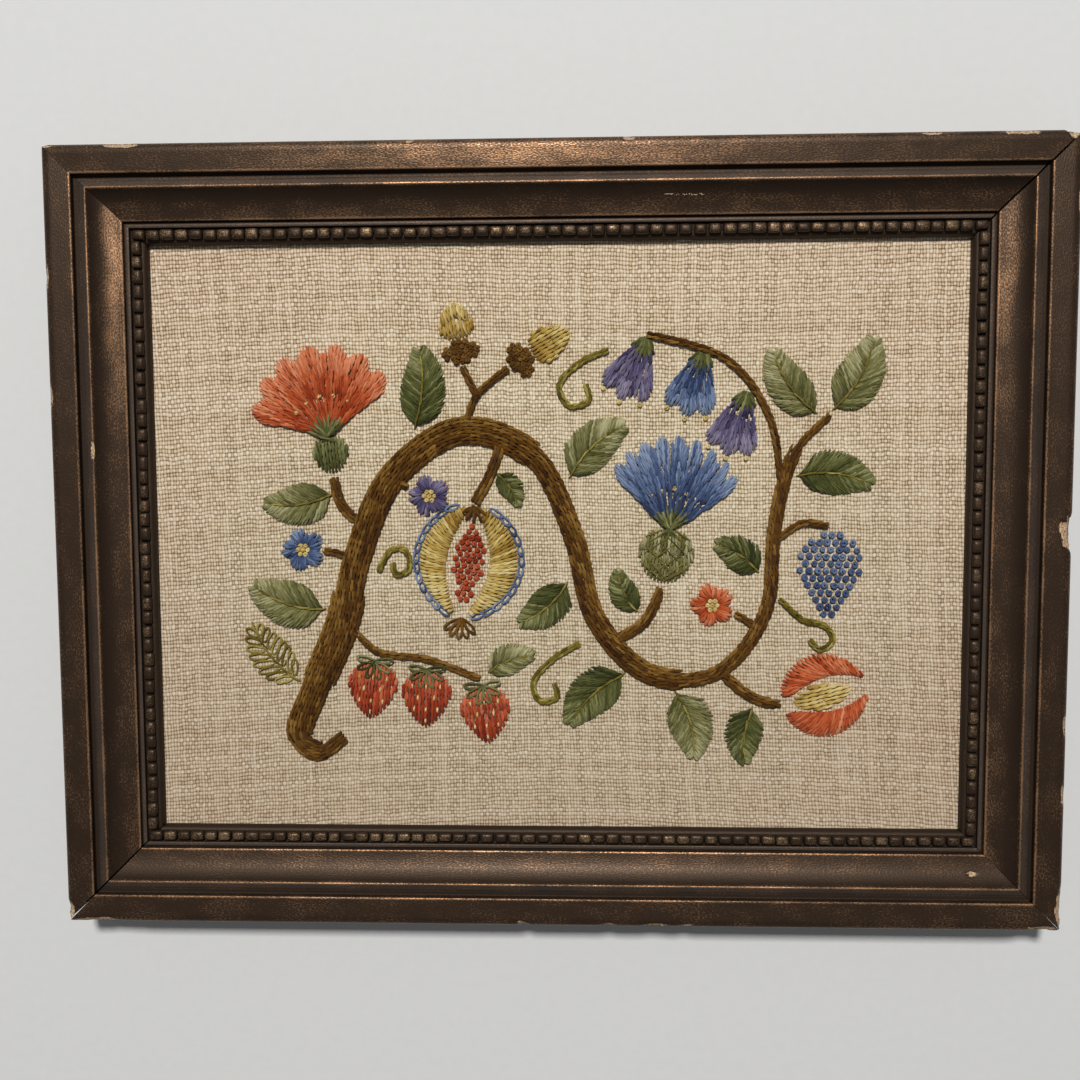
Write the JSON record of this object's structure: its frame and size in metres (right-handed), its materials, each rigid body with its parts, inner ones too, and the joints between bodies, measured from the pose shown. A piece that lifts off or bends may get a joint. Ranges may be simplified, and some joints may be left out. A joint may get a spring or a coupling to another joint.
{
  "type": "framed crewel embroidery panel",
  "caption": "Linen panel with raised wool crewel work of a scrolling stem, flowers and fruits, in a bronzed wooden frame with a beaded sight edge.",
  "frame": {"origin": "middle of the frame's back, on the surface that it lies on", "axes": "+X to the right of the picture, +Y to the top of the picture, +Z out of its face"},
  "size_m": [0.2286, 0.1778, 0.0164],
  "materials": {
    "bronzed_wood": "dark bronze-brown with copper rub-through, near black in the grooves",
    "bead_gilt": "dark bronze with rubbed gilt on the bead tops",
    "linen": "natural plain-weave linen, slightly aged",
    "board": "plain brown mount board",
    "wool_brown": "matt crewel wool",
    "wool_olive": "matt crewel wool",
    "wool_sage": "matt crewel wool",
    "wool_green": "matt crewel wool",
    "wool_coral": "matt crewel wool",
    "wool_rust": "matt crewel wool",
    "wool_gold": "matt crewel wool",
    "wool_blue": "matt crewel wool",
    "wool_lavender": "matt crewel wool"
  },
  "bodies": {
    "root": {"rail_bottom": "bronzed_wood", "rail_right": "bronzed_wood", "rail_top": "bronzed_wood", "rail_left": "bronzed_wood", "beads_bottom": "bead_gilt", "beads_right": "bead_gilt", "beads_top": "bead_gilt", "beads_left": "bead_gilt", "linen_panel": "linen", "mount_board": "board", "vine": "wool_brown", "tendril_a": "wool_olive", "tendril_b": "wool_olive", "tendril_c": "wool_olive", "tendril_d": "wool_olive", "carnation": "wool_coral", "thistle": "wool_blue", "bell_a": "wool_lavender", "bell_b": "wool_blue", "bell_c": "wool_lavender", "posy_a": "wool_blue", "posy_b": "wool_coral", "posy_c": "wool_lavender", "carnation_calyx": "wool_green", "thistle_calyx": "wool_sage", "fruit_seeds": "wool_rust", "fruit_husk_a": "wool_gold", "fruit_husk_b": "wool_gold", "tulip_heart": "wool_gold", "tulip_petal_a": "wool_coral", "tulip_petal_b": "wool_coral", "strawberry_a": "wool_rust", "strawberry_b": "wool_rust", "strawberry_c": "wool_rust", "acorn_cup_a": "wool_brown", "acorn_nut_a": "wool_gold", "acorn_cup_b": "wool_brown", "acorn_nut_b": "wool_gold", "grapes": "wool_blue", "leaf_a": "wool_sage", "leaf_b": "wool_green", "leaf_c": "wool_sage", "leaf_d": "wool_green", "leaf_e": "wool_green", "leaf_f": "wool_sage", "leaf_g": "wool_green", "leaf_h": "wool_green", "leaf_i": "wool_sage", "leaf_j": "wool_sage", "leaf_k": "wool_sage", "leaf_l": "wool_green", "leaf_m": "wool_sage", "leaf_n": "wool_green", "leaf_p": "wool_green", "fern": "wool_olive"}
  },
  "joints": []
}
